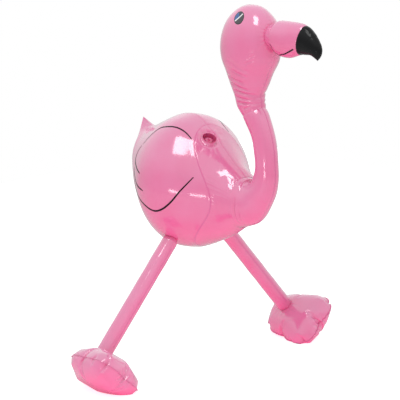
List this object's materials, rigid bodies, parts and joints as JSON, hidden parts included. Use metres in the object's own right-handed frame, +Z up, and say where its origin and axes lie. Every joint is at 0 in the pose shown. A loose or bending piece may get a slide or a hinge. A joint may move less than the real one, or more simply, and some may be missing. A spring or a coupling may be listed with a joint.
{
  "type": "inflatable flamingo figure",
  "caption": "Inflatable standing flamingo of welded film: round body, curved neck, hooked beak, splayed tube legs and pillow feet, with a sunk air valve.",
  "frame": {"origin": "on the floor under the middle of the figure's length and breadth", "axes": "+X the way the beak points, +Y the bird's left, +Z up"},
  "size_m": [0.3892, 0.5066, 0.5827],
  "materials": {
    "pink_film": "gloss",
    "black_film": "gloss",
    "clear_vinyl": "gloss"
  },
  "bodies": {
    "torso": {"left_wing_panel": "pink_film", "right_wing_panel": "pink_film", "left_breast_panel": "pink_film", "right_breast_panel": "pink_film", "valve_cup": "clear_vinyl"},
    "neck": {"left_neck_panel": "pink_film", "right_neck_panel": "pink_film"},
    "head": {"left_head_panel": "pink_film", "right_head_panel": "pink_film"},
    "beak": {"left_beak_panel": "pink_film", "right_beak_panel": "pink_film", "left_beak_tip": "black_film", "right_beak_tip": "black_film"},
    "left_leg": {"left_leg_outer_panel": "pink_film", "left_leg_inner_panel": "pink_film"},
    "right_leg": {"right_leg_outer_panel": "pink_film", "right_leg_inner_panel": "pink_film"},
    "left_foot": {"left_foot_top_panel": "pink_film", "left_foot_sole_panel": "pink_film"},
    "right_foot": {"right_foot_top_panel": "pink_film", "right_foot_sole_panel": "pink_film"},
    "valve_stem": {"valve_stem": "clear_vinyl", "valve_flap": "clear_vinyl"},
    "valve_plug": {"valve_plug": "clear_vinyl"}
  },
  "joints": [
    {"name": "neck_bend", "type": "hinge", "parent": "torso", "child": "neck", "pos_m": [0.0374, 0, 0.28016], "axis": [0, 1, 0], "range_deg": [-8, 8], "stiffness_Nm_per_rad": 2},
    {"name": "head_nod", "type": "hinge", "parent": "neck", "child": "head", "pos_m": [0.0564, 0, 0.41916], "axis": [0, 1, 0], "range_deg": [-8, 8], "stiffness_Nm_per_rad": 1},
    {"name": "beak_tilt", "type": "hinge", "parent": "head", "child": "beak", "pos_m": [0.1019, 0, 0.54016], "axis": [0, 1, 0], "range_deg": [-4, 4], "stiffness_Nm_per_rad": 0.5},
    {"name": "left_hip", "type": "hinge", "parent": "torso", "child": "left_leg", "pos_m": [-0.0686, 0.06149, 0.20362], "axis": [1, 0, 0], "range_deg": [-12, 12], "stiffness_Nm_per_rad": 4},
    {"name": "right_hip", "type": "hinge", "parent": "torso", "child": "right_leg", "pos_m": [-0.0686, -0.06149, 0.20362], "axis": [1, 0, 0], "range_deg": [-12, 12], "stiffness_Nm_per_rad": 4},
    {"name": "left_ankle", "type": "hinge", "parent": "left_leg", "child": "left_foot", "pos_m": [-0.0686, 0.19516, 0.0562], "axis": [1, 0, 0], "range_deg": [-10, 10], "stiffness_Nm_per_rad": 2},
    {"name": "right_ankle", "type": "hinge", "parent": "right_leg", "child": "right_foot", "pos_m": [-0.0686, -0.19516, 0.0562], "axis": [1, 0, 0], "range_deg": [-10, 10], "stiffness_Nm_per_rad": 2},
    {"name": "valve_pull", "type": "slide", "parent": "torso", "child": "valve_stem", "axis": [0.5087, -0.1564, 0.8466], "range_m": [0, 0.01]},
    {"name": "plug_pull", "type": "slide", "parent": "valve_stem", "child": "valve_plug", "axis": [0.5087, -0.1564, 0.8466], "range_m": [0, 0.008]}
  ]
}
